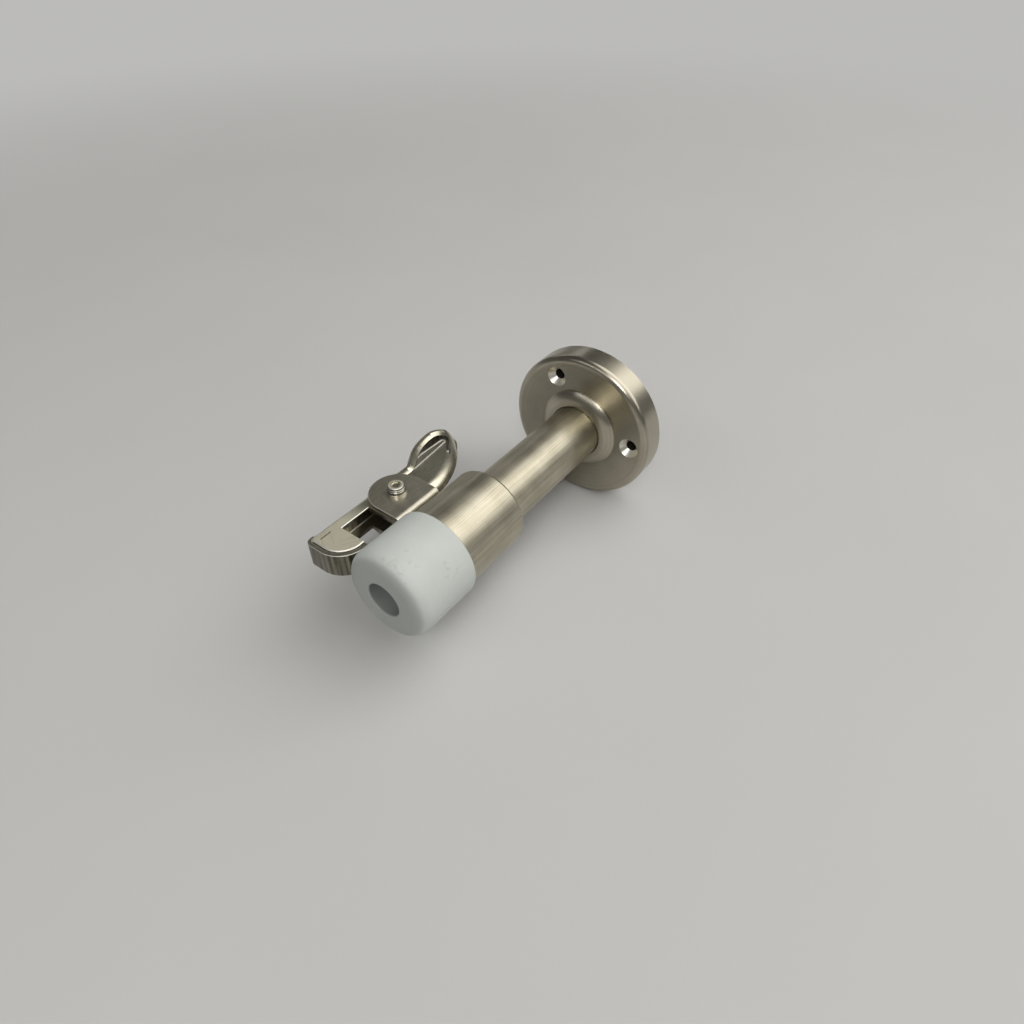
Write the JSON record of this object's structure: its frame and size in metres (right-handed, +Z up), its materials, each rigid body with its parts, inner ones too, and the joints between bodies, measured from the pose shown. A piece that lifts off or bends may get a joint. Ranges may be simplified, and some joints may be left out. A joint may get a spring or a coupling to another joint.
{
  "type": "door bumper with hook",
  "caption": "Wall door bumper: round screw flange, tubular stem with a thicker sleeve, grey rubber buffer and a sprung side hook with a thumb tail that holds the door.",
  "frame": {"origin": "centre of the wall flange's screw circle, on the wall plane at the back of the flange", "axes": "+Y into the wall along the stem, so the rubber points along -Y; +Z up along the hook's pivot pin; +X away from the hook"},
  "size_m": [0.0651, 0.1094, 0.0548],
  "materials": {
    "flange_steel": "satin",
    "stem_steel": "satin",
    "sleeve_steel": "satin",
    "plug_steel": "turned",
    "bumper_rubber": "matte",
    "screw_steel": "bright",
    "bracket_steel": "satin",
    "pin_steel": "bright",
    "hook_steel": "polished",
    "spring_steel": "bright"
  },
  "bodies": {
    "stop": {"wall_flange": "flange_steel", "stem_tube": "stem_steel", "sleeve": "sleeve_steel", "stem_plug": "plug_steel", "rubber_bumper": "bumper_rubber", "bumper_washer": "screw_steel", "bumper_screw": "screw_steel", "hook_bracket": "bracket_steel", "pivot_pin": "pin_steel", "pin_washer": "pin_steel"},
    "hook": {"hook_latch": "hook_steel", "return_spring": "spring_steel"}
  },
  "joints": [
    {"name": "hook_release", "type": "hinge", "parent": "stop", "child": "hook", "pos_m": [-0.0232, -0.0784, 0], "axis": [0, 0, -1], "range_deg": [0, 7], "stiffness_Nm_per_rad": 0.06, "springref_deg": -20.05, "deforming": ["return_spring"]}
  ]
}
